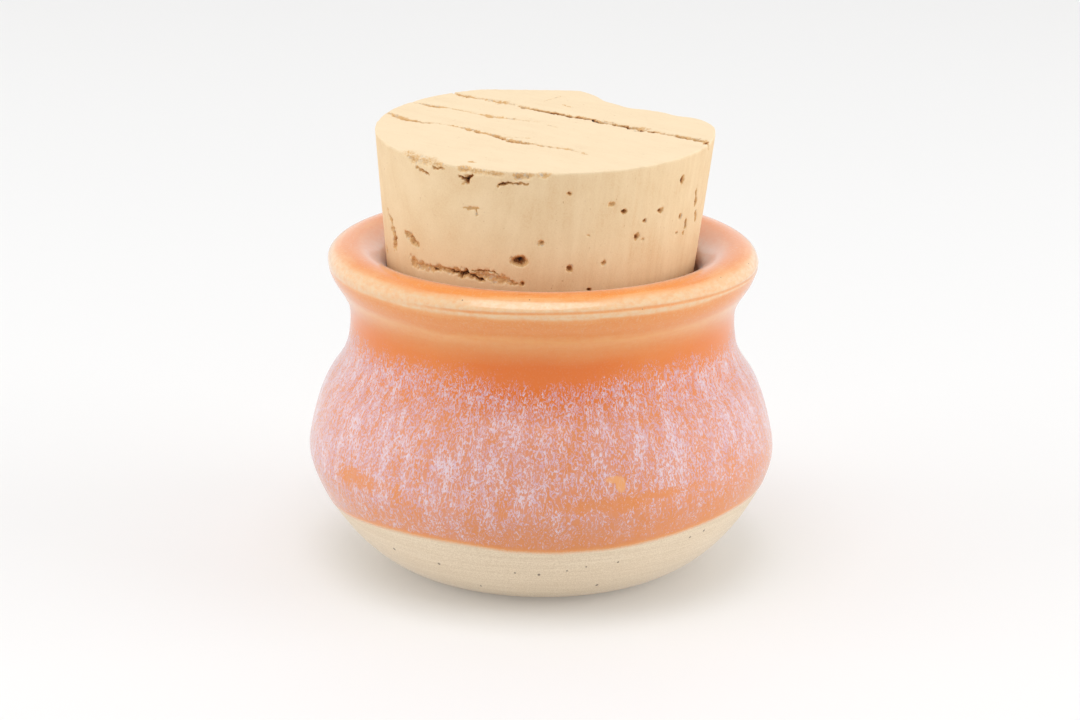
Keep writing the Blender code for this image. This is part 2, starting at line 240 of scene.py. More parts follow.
class JarSizes(bpy.types.PropertyGroup):
    """Radii and heights of the thrown jar."""

    foot_radius: length("Foot radius", "Flat part of the foot", 17.4)
    neck_radius: length("Neck radius", "Narrowest place under the lip", 26.2)
    neck_height: length("Neck height", "Height of the narrowest place", 34.8)
    lip_radius: length("Lip radius", "Widest place of the lip", 29.2)
    lip_height: length("Lip height", "Height of the lip's widest place", 42.6)
    crest_radius: length("Crest radius", "Ring where the lip is highest", 26.1)
    crest_height: length("Crest height", "Height of the whole jar", 44.6)
    throat_radius: length("Throat radius", "Opening that grips the cork", 21.35)
    throat_height: length("Throat height", "Height at which the funnel ends", 40.9)
    pocket_radius: length("Pocket radius", "Room round the cork's lower end", 20.8)
    pocket_floor: length("Pocket floor", "Height of the floor under the cork", 29.4)
    glaze_line: length("Glaze line", "Mean height of the glaze's lower edge", 10.68)
    glaze_thickness: length("Glaze thickness", "How far the glaze stands off the clay", 0.10)
    groove_height: length("Groove height", "Mean height of the fine groove round the lip", 42.1)
    groove_depth: length("Groove depth", "Depth of the groove between the lip's two ridges", 0.14)
    ring_depth: length("Ring depth", "Depth of the throwing rings", 0.05)
    wobble: length("Wobble", "How far the hand-thrown wall is out of round", 0.12)
    sides: IntProperty(name="Sides", description="Steps in one turn", default=400, min=24, max=720)
    seed: FloatProperty(name="Seed", description="Picks the pattern of rings and wobble", default=4.0)


class GlazeLook(bpy.types.PropertyGroup):
    """Colours and finish of glaze and clay."""

    orange: colour("Orange", "Glaze on the neck", 231, 150, 82)
    deep_orange: colour("Deep orange", "Glaze where it lies thick", 227, 113, 20)
    amber: colour("Amber", "Glaze on the crest of the lip", 233, 142, 62)
    peach: colour("Peach", "Glaze where it thins on the lip", 238, 172, 108)
    # cream also stands for the painted highlight high on the lip
    cream: colour("Cream", "Glaze that breaks over the ridges", 233, 199, 158)
    funnel: colour("Funnel", "Glaze inside the lip", 232, 168, 128)
    # painted sheen: the bright surroundings mirrored deeper in the funnel
    painted_funnel_sheen: colour("Milky", "Paler glaze deeper in the funnel", 232, 202, 186)
    belly: colour("Belly", "Glaze between the speckles", 219, 132, 54)
    lilac: colour("Lilac", "Milky speckles", 208, 174, 196)
    pale_lilac: colour("Pale lilac", "Brightest speckles", 226, 212, 224)
    clay: colour("Clay", "Bare stoneware", 240, 223, 197)
    clay_shade: colour("Clay shade", "Darker clay", 221, 201, 172)
    speck: colour("Speck", "Iron specks", 92, 66, 48)
    roughness: share("Glaze roughness", "Roughness of the glaze", 0.15)


class CorkSizes(bpy.types.PropertyGroup):
    """Sizes of the tapered cork and how it sits."""

    top_radius: length("Top radius", "Radius of the flat top", 22.9)
    taper: share("Taper", "Loss of radius for each unit of depth", 0.1015)
    rise: length("Rise", "How far the top stands over the seat", 22.3)
    length: length("Length", "Length of the cork", 30.0)
    seat_height: length("Seat height", "Height where the throat grips", 38.4)
    shift: length("Shift", "Sideways place of the seat", 0.1, -5.0)
    lean_right: angle("Lean right", "Tilt of the cork to the right", 0.2)
    lean_front: angle("Lean front", "Tilt of the cork to the front", 2.0)
    skew: share("Skew", "Sideways run of the lower end for each unit of depth", 0.022)
    grain_turn: angle("Grain turn", "Direction of the growth layers on the top", -37.3)
    edge: length("Edge", "Rounding of the top edge", 0.3)
    break_across: length("Break", "Mean distance of the broken-off side from the middle", 17.0)
    worn_back: length("Worn back", "Distance from the middle at which the back edge is worn down", 21.8)
    break_lean: share("Break lean", "How far the broken face leans out for each unit of depth", 0.62)
    break_soft: length("Break edge", "Rounding of the broken face's edge", 0.5)
    cell: length("Cell", "Distance between the mesh's points before the cracks are refined", 0.46)


class CorkLook(bpy.types.PropertyGroup):
    """Colours of the cork."""

    flesh: colour("Flesh", "Cut cork", 232, 204, 162)
    light_flesh: colour("Light flesh", "Lighter cork", 238, 212, 172)
    tan: colour("Tan", "Darker layers", 226, 193, 149)
    # painted light: the top face is given a paler colour, as if lit from above
    face: colour("Face", "Cut face on top", 240, 221, 190)
    ochre: colour("Ochre", "Edges of cracks and pits", 217, 174, 118)
    dust: colour("Dust", "Grey dust in broken places", 204, 188, 166)
    bark: colour("Bark", "Brown lining of cracks and pits", 168, 108, 56)
    # painted shade: the near-black of the deepest cracks and pits
    hollow: colour("Hollow", "Darkest places in cracks and pits", 58, 36, 22)
    roughness: share("Roughness", "Roughness of the cork", 0.85)


class StageLook(bpy.types.PropertyGroup):
    """Camera and light."""

    lens: FloatProperty(
        name="Lens", description="Focal length in millimetres", default=100.0, subtype="DISTANCE_CAMERA"
    )
    camera_right: length("Camera right", "Sideways place of the camera", -0.258, -1.0)
    camera_back: length("Camera back", "Distance of the camera in front of the jar's axis", 395.88)
    camera_height: length("Camera height", "Height of the camera", 149.42)
    pitch: angle("Pitch", "How far the camera looks down", 17.091)
    roll: angle("Roll", "Turn of the camera about its view", 0.526)
    sky: FloatProperty(name="Sky", description="Brightness of the white surroundings", default=0.74, min=0.0)
    floor: colour("Floor", "Pale floor", 220, 220, 220)
    # the floor's glow is painted light that lifts the shadows round the foot
    floor_glow: share("Floor glow", "Light that comes up through the white table", 0.14)


class Graph:
    """Adds nodes to a tree. An input is given a socket to link or a plain value."""

    def __init__(self, tree):
        self.tree = tree

    def node(self, kind, inputs=None, **settings):
        made = self.tree.nodes.new(kind)
        for name, value in settings.items():
            setattr(made, name, value)
        for name, value in (inputs or {}).items():
            self.feed(made.inputs[name], value)
        return made

    def feed(self, socket, value):
        if isinstance(value, bpy.types.NodeSocket):
            self.tree.links.new(value, socket)
        elif socket.type == "RGBA" and len(value) == 3:
            socket.default_value = (*value, 1.0)
        else:
            socket.default_value = value

    def math(self, operation, *values, clamp=False):
        made = self.node("ShaderNodeMath", dict(enumerate(values)), operation=operation, use_clamp=clamp)
        return made.outputs[0]

    def add(self, *values):
        total = values[0]
        for value in values[1:]:
            total = self.math("ADD", total, value)
        return total

    def times(self, *values):
        product = values[0]
        for value in values[1:]:
            product = self.math("MULTIPLY", product, value)
        return product

    def minus(self, first, second):
        return self.math("SUBTRACT", first, second)

    def size(self, value):
        return self.math("ABSOLUTE", value)

    def swing(self, value, *sizes):
        """A noise value taken about nought, times the sizes."""
        return self.times(self.minus(value, 0.5), *sizes)

    def weighted(self, *pairs):
        """Sum of values, each times its weight."""
        return self.add(*(self.times(value, weight) for value, weight in pairs))

    def ease(self, value, low, high, start=0.0, end=1.0):
        """Smooth step from start to end while the value goes from low to high."""
        inputs = {"Value": value, "From Min": low, "From Max": high, "To Min": start, "To Max": end}
        return self.node("ShaderNodeMapRange", inputs, interpolation_type="SMOOTHSTEP").outputs["Result"]

    def split(self, vector):
        return self.node("ShaderNodeSeparateXYZ", {"Vector": vector}).outputs

    def joined(self, x, y, z):
        return self.node("ShaderNodeCombineXYZ", {"X": x, "Y": y, "Z": z}).outputs["Vector"]

    def vector(self, operation, *values, output="Vector"):
        return self.node("ShaderNodeVectorMath", dict(enumerate(values)), operation=operation).outputs[output]

    def scaled(self, vector, *shares):
        return self.vector("MULTIPLY", vector, shares)

    def noise(self, place, scales, detail=2.0, rough=0.5, twist=0.0, seed=0.0):
        inputs = {"Vector": self.scaled(place, *scales), "W": seed, "Scale": 1.0}
        inputs |= {"Detail": detail, "Roughness": rough, "Distortion": twist}
        return self.node("ShaderNodeTexNoise", inputs, noise_dimensions="4D").outputs[0]

    def attribute(self, name, output="Fac"):
        return self.node("ShaderNodeAttribute", attribute_name=name).outputs[output]

    def stored(self, geometry, name, value, kind="FLOAT"):
        """The geometry with the value kept on it under a name."""
        inputs = {"Geometry": geometry, "Name": name, "Value": value}
        return self.node("GeometryNodeStoreNamedAttribute", inputs, data_type=kind).outputs["Geometry"]

    def bump(self, shader, lift, strength, reach):
        inputs = {"Height": lift, "Strength": strength, "Distance": reach * MM}
        self.feed(shader.inputs["Normal"], self.node("ShaderNodeBump", inputs).outputs["Normal"])

    def mix(self, factor, first, second, blend="MIX"):
        inputs = {0: factor, 6: first, 7: second}
        return self.node("ShaderNodeMix", inputs, data_type="RGBA", blend_type=blend).outputs[2]

    def ramp(self, factor, stops):
        made = self.node("ShaderNodeValToRGB", {"Fac": factor})
        ladder = made.color_ramp.elements
        while len(ladder) > 1:
            ladder.remove(ladder[-1])
        for index, (position, tint) in enumerate(stops):
            step = ladder[0] if index == 0 else ladder.new(position)
            step.position = position
            step.color = (*tint, 1.0)
        return made.outputs["Color"]

    def waves(self, turn, mean, waves, unit):
        """A height that rises and falls with the turn, as the list of waves says."""
        height = mean
        for count, size, phase in waves:
            wave = self.math("COSINE", self.add(self.times(turn, float(count)), radians(phase)))
            height = self.add(height, self.times(wave, size * unit))
        return height


def new_object(name, data):
    """An object at the origin, in the scene."""
    made = bpy.data.objects.new(name, data)
    bpy.context.scene.collection.objects.link(made)
    return made


def bezier(start, pull_out, pull_in, end, count):
    """Points of a cubic curve, without its first point."""
    points = []
    for step in range(1, count + 1):
        t = step / count
        weights = ((1 - t) ** 3, 3 * (1 - t) ** 2 * t, 3 * (1 - t) * t ** 2, t ** 3)
        knots = (start, pull_out, pull_in, end)
        points.append(sum((w * Vector(k) for w, k in zip(weights, knots)), Vector((0.0, 0.0))))
    return points


def spline(pulls, count):
    """Points of a cubic B-spline that starts and ends on its first and last pull, without the last point."""
    degree = 3
    spans = len(pulls) - degree
    knots = [0.0] * degree + [float(i) for i in range(spans + 1)] + [float(spans)] * degree
    points = []
    for step in range(count):
        t = spans * step / count
        span = degree + int(t)
        work = [Vector(pulls[span - degree + i]) for i in range(degree + 1)]
        for level in range(1, degree + 1):
            for i in range(degree, level - 1, -1):
                low = knots[span - degree + i]
                high = knots[span + 1 + i - level]
                work[i] = work[i - 1].lerp(work[i], (t - low) / (high - low))
        points.append(work[degree])
    return points


def jar_outline(jar):
    """Dense points (radius, height) in mm from the foot's rim over the lip to the pocket's wall."""
    foot = (jar.foot_radius / MM, 0.0)
    neck = (jar.neck_radius / MM, jar.neck_height / MM)
    lip = (jar.lip_radius / MM, jar.lip_height / MM)
    crest = (jar.crest_radius / MM, jar.crest_height / MM)
    throat = (jar.throat_radius / MM, jar.throat_height / MM)
    points = spline([foot, *reversed(BODY_PULLS), neck], 600)
    points += bezier(neck, (neck[0], neck[1] + NECK_PULL), (lip[0], lip[1] - LIP_PULL_DOWN), lip, 150)
    points += bezier(lip, (lip[0], lip[1] + LIP_PULL_UP), (crest[0] + CREST_PULL_OUT, crest[1]), crest, 80)
    outside = len(points)
    pulls = ((crest[0] - CREST_PULL_IN, crest[1]), (throat[0], throat[1] + THROAT_PULL))
    points += bezier(crest, *pulls, throat, 80)
    return points, outside


def row_gap(jar, point):
    """Distance in mm between the mesh's rows, smaller at the glaze line and round the lip."""
    radius, height = point
    if abs(height - jar.glaze_line / MM - 0.6) < 2.8:
        return 0.17
    if radius > 0.965 * jar.lip_radius / MM and height > 0.93 * jar.lip_height / MM:
        return 0.12
    return 0.42


def outline_object(jar):
    """The outline as a chain of points, each with its distance down the outside from the crest."""
    dense, outside = jar_outline(jar)
    kept = [Vector((0.0, 0.0)), Vector((0.5 * jar.foot_radius / MM, 0.0)), dense[0]]
    marks = [0.0, kept[1].length, kept[2].length]
    run = marks[-1]
    gap = 0.0
    crest = 0.0
    for index, (before, after) in enumerate(zip(dense, dense[1:])):
        step = (after - before).length
        run += step
        gap += step
        if index + 2 == outside:
            crest = run
        if gap >= row_gap(jar, after):
            kept.append(after)
            marks.append(run)
            gap = 0.0
    pocket = Vector((jar.pocket_radius / MM, jar.pocket_floor / MM))
    for point in (dense[-1], pocket, Vector((0.0, pocket.y))):
        run += (point - kept[-1]).length
        kept.append(point)
        marks.append(run)
    mesh = bpy.data.meshes.new("outline")
    corners = [(point.x * MM, 0.0, point.y * MM) for point in kept]
    mesh.from_pydata(corners, [(i, i + 1) for i in range(len(corners) - 1)], [])
    arc = mesh.attributes.new("arc", "FLOAT", "POINT")
    arc.data.foreach_set("value", [(crest - mark) * MM for mark in marks])
    return new_object("outline", mesh)


def throwing_tree():
    """Geometry nodes that turn an outline into a thrown and dipped wall."""
    tree = bpy.data.node_groups.new("thrown on the wheel", "GeometryNodeTree")
    kinds = {"Geometry": "Geometry", "Sides": "Int", **dict.fromkeys(THROWN, "Float"), "Finish": "Material"}
    for name, kind in kinds.items():
        tree.interface.new_socket(name, in_out="INPUT", socket_type="NodeSocket" + kind)
    tree.interface.new_socket("Geometry", in_out="OUTPUT", socket_type="NodeSocketGeometry")
    g = Graph(tree)
    given = g.node("NodeGroupInput").outputs
    here = g.node("GeometryNodeInputPosition").outputs["Position"]

    # a grid whose columns go round the axis and whose rows follow the outline
    size = g.node("GeometryNodeAttributeDomainSize", {"Geometry": given["Geometry"]}, component="MESH")
    rows = size.outputs["Point Count"]
    counts = {"Size X": 1.0, "Size Y": 1.0, "Vertices X": g.add(given["Sides"], 1.0), "Vertices Y": rows}
    grid = g.node("GeometryNodeMeshGrid", counts).outputs["Mesh"]
    place = g.split(here)
    turn = g.times(place["X"], 2.0 * pi)
    row = g.math("ROUND", g.times(g.add(place["Y"], 0.5), g.minus(rows, 1.0)))

    def of_row(value, kind):
        """The value at this row's point of the outline."""
        inputs = {"Geometry": given["Geometry"], "Value": value, "Index": row}
        return g.node("GeometryNodeSampleIndex", inputs, data_type=kind).outputs["Value"]

    outline = g.split(of_row(here, "FLOAT_VECTOR"))
    down = g.node("GeometryNodeInputNamedAttribute", {"Name": "arc"}, data_type="FLOAT").outputs["Attribute"]
    marked = g.stored(grid, "arc", of_row(down, "FLOAT"))
    x = g.times(outline["X"], g.math("COSINE", turn))
    y = g.times(outline["X"], g.math("SINE", turn))
    turned = {"Geometry": marked, "Position": g.joined(x, y, outline["Z"])}
    placed = g.node("GeometryNodeSetPosition", turned).outputs["Geometry"]
    closed = g.node("GeometryNodeMergeByDistance", {"Geometry": placed, "Distance": 0.001 * MM})

    # the same turn and arc again on the closed wall
    spot = g.split(here)
    round_turn = g.math("ARCTAN2", spot["Y"], spot["X"])
    radius = g.math("SQRT", g.add(g.times(spot["X"], spot["X"]), g.times(spot["Y"], spot["Y"])))
    across = g.times(g.math("COSINE", round_turn), WRAP_RADIUS * MM)
    along = g.times(g.math("SINE", round_turn), WRAP_RADIUS * MM)
    wrap = g.joined(across, along, down)
    ripple = g.noise(wrap, (90.0, 90.0, 90.0), seed=given["Seed"])
    line = g.add(g.waves(round_turn, given["Glaze line"], GLAZE_WAVES, MM), g.swing(ripple, 0.9 * MM))
    above = g.minus(spot["Z"], line)

    # relief: throwing rings, an uneven hand, the glaze's edge, and the lip's groove between two ridges
    outer = g.ease(down, 0.0, 2.0 * MM)
    standing = g.ease(spot["Z"], 0.2 * MM, 3.0 * MM)
    rings = g.noise(wrap, (14.0, 14.0, 620.0), seed=given["Seed"])
    sway = g.noise(wrap, (28.0, 28.0, 25.0), 1.0, seed=given["Seed"])
    step = g.ease(above, -0.1 * MM, 0.6 * MM)
    bead = g.times(step, g.ease(above, 0.4 * MM, 2.2 * MM, 1.0, 0.0), 0.2)
    from_groove = g.minus(spot["Z"], g.waves(round_turn, given["Groove height"], GROOVE_WAVES, MM))
    off_groove = g.size(from_groove)
    cut = g.ease(off_groove, 0.04 * MM, 0.24 * MM, -0.6, 0.0)
    ridge = g.ease(off_groove, 0.30 * MM, 0.95 * MM, 0.5, 0.0)
    fading = g.ease(across, -20.0 * MM, -9.0 * MM, 0.2, 1.0)
    lip_only = g.times(g.ease(radius, 28.2 * MM, 28.8 * MM), outer, fading)
    relief = g.add(
        g.swing(rings, given["Ring depth"], outer, standing, 2.0),
        g.swing(sway, given["Wobble"], standing, 2.0),
        g.times(g.add(step, bead), given["Glaze thickness"]),
        g.times(g.add(cut, ridge), given["Groove depth"], lip_only),
    )
    normal = g.node("GeometryNodeInputNormal").outputs["Normal"]
    offset = g.node("ShaderNodeVectorMath", {0: normal, "Scale": relief}, operation="SCALE").outputs["Vector"]

    # patterns are kept on the wall before the relief moves it
    wall = g.stored(closed.outputs["Geometry"], "wrap", wrap, "FLOAT_VECTOR")
    wall = g.stored(wall, "above_line", above)
    wall = g.stored(wall, "off_groove", from_groove)
    raised = g.node("GeometryNodeSetPosition", {"Geometry": wall, "Offset": offset})
    smooth = g.node("GeometryNodeSetShadeSmooth", {"Geometry": raised.outputs["Geometry"]})
    real = g.node("GeometryNodeRealizeInstances", {"Geometry": smooth.outputs[0]})
    finished = g.node("GeometryNodeSetMaterial", {"Geometry": real.outputs[0], "Material": given["Finish"]})
    g.node("NodeGroupOutput", {"Geometry": finished.outputs[0]})
    return tree


def set_inputs(modifier, values):
    """Gives a Geometry Nodes modifier its named inputs."""
    for socket in modifier.node_group.interface.items_tree:
        if socket.in_out == "INPUT" and socket.name in values:
            modifier[socket.identifier] = values[socket.name]


def plain_mesh(body, name):
    """A new object at the origin with the evaluated mesh of the body, which is then removed."""
    bpy.context.view_layer.update()
    graph = bpy.context.evaluated_depsgraph_get()
    mesh = bpy.data.meshes.new_from_object(body.evaluated_get(graph))
    mesh.name = name
    body.modifiers.clear()
    bpy.data.objects.remove(body, do_unlink=True)
    return new_object(name, mesh)


def new_material(name):
    material = bpy.data.materials.new(name)
    material.use_nodes = True
    graph = Graph(material.node_tree)
    shader = material.node_tree.nodes["Principled BSDF"]
    return material, graph, shader


def on_wall(azimuth, height, radius=WRAP_RADIUS):
    """A place in mm, given by its azimuth in degrees and its height."""
    turn = radians(azimuth)
    return (radius * cos(turn), radius * sin(turn), height)


def spot_mask(g, place, specks):
    """One inside the specks, given by azimuth, height and size, and by the distance from the axis in mm."""
    mask = 0.0
    for azimuth, height, size, *reach in specks:
        gap = g.vector("DISTANCE", place, on_wall(azimuth, height, *reach), output="Value")
        mask = g.math("MAXIMUM", mask, g.ease(gap, 0.7 * size, 1.3 * size, 1.0, 0.0))
    return mask


def oval_reach(g, place, azimuth, height, half_width, half_height):
    """Distance from an oval's middle on the unrolled wall, one at its edge."""
    apart = g.vector("SUBTRACT", place, on_wall(azimuth, height))
    squeezed = g.scaled(apart, 1.0 / half_width, 1.0 / half_width, 1.0 / half_height)
    return g.vector("LENGTH", squeezed, output="Value")


def stoneware(look):
    """Speckled orange glaze over bare buff clay, in one material."""
    material, g, shader = new_material("glazed stoneware")
    body = g.node("ShaderNodeTexCoord").outputs["Object"]
    true_place = g.scaled(body, 1000.0, 1000.0, 1000.0)
    mm = g.scaled(g.attribute("wrap", "Vector"), 1000.0, 1000.0, 1000.0)
    wrap = g.split(mm)
    arc = wrap["Z"]
    sideways = g.size(wrap["X"])
    height = g.times(g.split(body)["Z"], 1000.0)
    above = g.times(g.attribute("above_line"), 1000.0)
    level = g.joined(wrap["X"], wrap["Y"], height)

    # bands of the glaze: its colour changes with height, in wavering streaks that follow the wheel
    streaks = g.noise(mm, (0.10, 0.10, 1.1), 4.0, 0.6, 0.3, 2.0)
    drift = g.noise(mm, (0.09, 0.09, 0.09), 2.0, 0.5, 0.0, 7.0)
    banded = g.add(height, g.swing(streaks, 1.2), g.swing(drift, 1.6))
    span = {"Value": banded, "From Min": BAND_LOW, "From Max": BAND_HIGH}
    bands = (
        (10.0, look.belly),
        (27.0, look.belly),
        (31.0, look.deep_orange),
        (34.6, look.deep_orange),
        (37.2, look.orange),
        (38.6, look.peach),
        (39.6, look.orange),
        (41.4, look.orange),
        (42.2, look.peach),
        (44.0, look.peach),
        (44.6, look.amber),
    )
    stops = [((level_mm - BAND_LOW) / (BAND_HIGH - BAND_LOW), tint) for level_mm, tint in bands]
    outside = g.ramp(g.node("ShaderNodeMapRange", span).outputs["Result"], stops)

    # painted sheen: the flanks under the neck are lighter towards the left and right; the lip's ridges are
    # worn to cream
    painted_flank_sheen = g.times(g.ease(sideways, 6.0, 17.0, 0.0, 0.42), g.ease(height, 34.6, 37.2, 1.0, 0.0))
    outside = g.mix(painted_flank_sheen, outside, look.amber)
    lip = g.add(height, g.swing(drift, 0.8), g.swing(streaks, 0.5))
    # cream where the glaze breaks thin over the ridges, reaching up over the crest as a painted highlight
    thin_glaze_and_highlight = g.times(g.ease(lip, 41.75, 42.2), g.ease(lip, 43.6, 44.45, 1.0, 0.0))
    blots = g.noise(mm, (1.0, 1.0, 1.6), 4.0, 0.65, 0.3, 11.0)
    outside = g.mix(g.times(thin_glaze_and_highlight, g.ease(blots, 0.38, 0.60, 0.62, 1.0)), outside, look.cream)
    off_groove = g.size(g.add(g.times(g.attribute("off_groove"), 1000.0), g.swing(streaks, 0.25)))
    cut_here = g.ease(wrap["X"], -20.0, -9.0, 0.1, 1.0)
    seam = g.times(g.ease(off_groove, 0.06, 0.26, 1.0, 0.0), g.ease(arc, 2.0, 3.0), cut_here)
    outside = g.mix(g.times(seam, 0.75), outside, look.orange)

    # inside the lip: pale halfway down with a painted sheen of the bright surroundings, orange again beside
    # the cork
    painted_funnel_sheen = g.ease(g.add(arc, g.swing(drift, 3.0)), -5.0, -1.8, 0.95, 0.0)
    within = g.mix(painted_funnel_sheen, look.funnel, look.painted_funnel_sheen)
    within = g.mix(g.ease(arc, -6.4, -4.8, 0.7, 0.0), within, look.orange)
    glaze = g.mix(g.ease(arc, -2.2, -0.2, 1.0, 0.0), outside, within)
    mottle = g.noise(mm, (0.9, 0.9, 1.4), 4.0, 0.6, 0.2, 5.0)
    glaze = g.mix(g.ease(mottle, 0.40, 0.75, 0.0, 0.20), glaze, look.deep_orange)
    pale_grain = g.noise(mm, (3.4, 3.4, 3.4), 3.0, 0.6, 0.3, 15.0)
    pale = g.times(g.ease(pale_grain, 0.50, 0.68, 0.0, 0.22), g.ease(height, 36.0, 42.0, 0.3, 1.0))
    glaze = g.mix(pale, glaze, look.cream)

    # where the milky speckles lie: thick on the belly, scattered at its edges, thin in the plain places
    net = g.noise(mm, (2.0, 2.0, 0.95), 4.0, 0.60, 0.9, 1.0)
    vein = g.ease(g.size(g.minus(net, 0.5)), 0.0, 0.050, 1.0, 0.0)
    grit = g.noise(mm, (4.8, 4.8, 2.4), 2.0, 0.6, 0.4, 3.0)
    cloud = g.noise(mm, (0.42, 0.42, 0.18), 3.0, 0.55, 0.3, 9.0)
    runs = g.noise(mm, (1.0, 1.0, 0.22), 3.0, 0.6, 0.3, 12.0)
    plain = 0.0
    for oval in PLAIN_PLACES:
        frayed = g.add(oval_reach(g, level, *oval), g.swing(cloud, 1.2), g.swing(grit, 0.8))
        plain = g.math("MAXIMUM", plain, g.ease(frayed, 0.3, 1.5, 1.0, 0.0))
    frayed_edge = g.add(g.swing(cloud, 7.0), g.swing(runs, 4.0))
    bow = g.ease(sideways, 2.0, 14.0, 0.4, -1.0)
    zone = g.ease(g.add(height, frayed_edge, bow), 30.0, 34.8, 1.0, 0.0)
    thin_side = g.times(g.ease(wrap["X"], -14.0, 20.0), g.ease(height, 14.0, 25.0, 1.0, 0.0))
    low = g.minus(g.ease(above, 0.0, 8.0, 0.62, 1.0), g.times(thin_side, 0.22))
    zone = g.times(zone, low, g.ease(above, 0.2, 1.4), g.minus(1.0, g.times(plain, 0.55)))

    # the speckles themselves: a fine net drawn out downwards, over a haze of the same colour
    amount = g.weighted((vein, 0.50), (grit, 1.1), (cloud, 0.4), (runs, 0.4))
    # the speckles grow thicker towards the left and right flanks: real speckles, thickened there as painted
    # sheen
    threshold = g.minus(1.62, g.times(zone, g.ease(sideways, 8.0, 24.0, 0.655, 0.735)))
    speckle = g.times(g.ease(g.minus(amount, threshold), 0.0, 0.30), g.ease(zone, 0.0, 0.15))
    whiteness = g.weighted((grit, 0.4), (cloud, 0.25), (runs, 0.35))
    milk = g.mix(g.ease(whiteness, 0.44, 0.60), look.lilac, look.pale_lilac)
    haze = g.times(zone, g.ease(cloud, 0.3, 0.7, 0.10, 0.29), g.ease(height, 26.0, 31.0, 1.0, 0.15))
    glaze = g.mix(haze, glaze, look.lilac)
    glaze = g.mix(g.times(speckle, 0.84), glaze, milk)

    # one smooth drip, and the thin lower edge
    drip = g.math("MINIMUM", *(oval_reach(g, level, *oval) for oval in DRIP))
    drip = g.ease(g.add(drip, g.swing(runs, 0.8)), 0.75, 1.15, 1.0, 0.0)
    glaze = g.mix(g.times(drip, 0.65), glaze, look.peach)
    glaze = g.mix(g.ease(g.add(above, g.swing(grit, 0.7)), 0.0, 1.1, 0.7, 0.0), glaze, look.peach)

    # bare clay with fine grain
    grain = g.noise(mm, (5.0, 5.0, 5.0), 4.0, 0.7, 0.0, 6.0)
    turned = g.noise(mm, (0.06, 0.06, 2.4), 3.0, 0.6, 0.0, 8.0)
    clay = g.mix(g.ease(g.weighted((grain, 0.75), (turned, 0.25)), 0.42, 0.60), look.clay_shade, look.clay)
    specks = g.math("MAXIMUM", spot_mask(g, true_place, LIP_SPECKS), spot_mask(g, level, CLAY_SPECKS))

    glazed = g.ease(above, 0.0, 0.10)
    thin_edge = g.ease(g.add(above, g.swing(grit, 0.6), g.swing(grain, 0.5)), -0.25, 0.65)
    tint = g.mix(thin_edge, clay, glaze)
    g.feed(shader.inputs["Base Color"], g.mix(g.times(specks, 0.8), tint, look.speck))
    smoother = look.roughness - CLAY_ROUGHNESS
    g.feed(shader.inputs["Roughness"], g.add(CLAY_ROUGHNESS, g.times(glazed, smoother)))
    shader.inputs["IOR"].default_value = 1.58
    shader.inputs["Sheen Weight"].default_value = 0.3
    shader.inputs["Sheen Roughness"].default_value = 0.35
    shader.inputs["Sheen Tint"].default_value = (0.90, 0.93, 1.0, 1.0)
    clay_grain = g.times(g.minus(1.0, glazed), g.times(grain, 1.5))
    lift = g.add(g.weighted((speckle, 0.5), (mottle, 0.4)), clay_grain)
    g.bump(shader, lift, 0.6, 0.03)
    return material


def throw_jar(jar, look):
    """The glazed jar, replacing the plain turned solid."""
    body = outline_object(jar)
    turning = body.modifiers.new("throwing", "NODES")
    turning.node_group = throwing_tree()
    values = {name: getattr(jar, name.lower().replace(" ", "_")) for name in ("Sides", *THROWN)}
    set_inputs(turning, {**values, "Finish": stoneware(look)})
    piece = plain_mesh(body, "glazed_jar")
    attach(piece, "root")
    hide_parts("jar")
    return piece


def back_pits():
    """Pits on the cork's far side, spread by the golden angle."""
    pits = []
    for index in range(BACK_PITS):
        azimuth = 12.0 + (index * GOLDEN_ANGLE) % 165.0
        depth = 3.0 + (index * 5.3) % 13.0
        pits.append((azimuth, depth, 0.6 + 0.3 * (index % 3), 0.6 + 0.25 * (index % 4), 0.45, 0.8))
    return pits


def cork_grid(cork):
    """Flat top, tapered side and bottom of the cork as one closed mesh, its top centre at the origin."""
    radius = cork.top_radius
    half = int(round(radius / cork.cell))
    shape = bmesh.new()

    def on_disc(i, j):
        """Concentric map of a square's point to the disc."""
        u, v = i / half, j / half
        if abs(u) < 1e-9 and abs(v) < 1e-9:
            return Vector((0.0, 0.0, 0.0))
        if abs(u) >= abs(v):
            reach, turn = u, 0.25 * pi * v / u
        else:
            reach, turn = v, 0.5 * pi - 0.25 * pi * u / v
        return Vector((radius * reach * cos(turn), radius * reach * sin(turn), 0.0))

    steps = range(-half, half + 1)
    top = {(i, j): shape.verts.new(on_disc(i, j)) for i in steps for j in steps}
    for i in range(-half, half):
        for j in range(-half, half):
            shape.faces.new([top[i, j], top[i + 1, j], top[i + 1, j + 1], top[i, j + 1]])
    rim = [top[half, j] for j in range(-half, half)]
    rim += [top[-i, half] for i in range(-half, half)]
    rim += [top[-half, -j] for j in range(-half, half)]
    rim += [top[i, -half] for i in range(-half, half)]
    depths = list(np.arange(cork.cell, 20.0 * MM, cork.cell)) + [22.0 * MM, 25.0 * MM, cork.length]
    above = rim
    for depth in depths:
        shrink = 1.0 - cork.taper * depth / radius
        ring = [shape.verts.new((v.co.x * shrink, v.co.y * shrink, -depth)) for v in rim]
        for index in range(len(rim)):
            after = (index + 1) % len(rim)
            shape.faces.new([above[index], ring[index], ring[after], above[after]])
        above = ring
    middle = shape.verts.new((0.0, 0.0, -cork.length))
    for index in range(len(rim)):
        shape.faces.new([above[(index + 1) % len(rim)], above[index], middle])
    return shape


def falloff(distance):
    """One in the middle, smoothly to nought at one."""
    return np.clip(1.0 - distance ** 2, 0.0, 1.0) ** 2


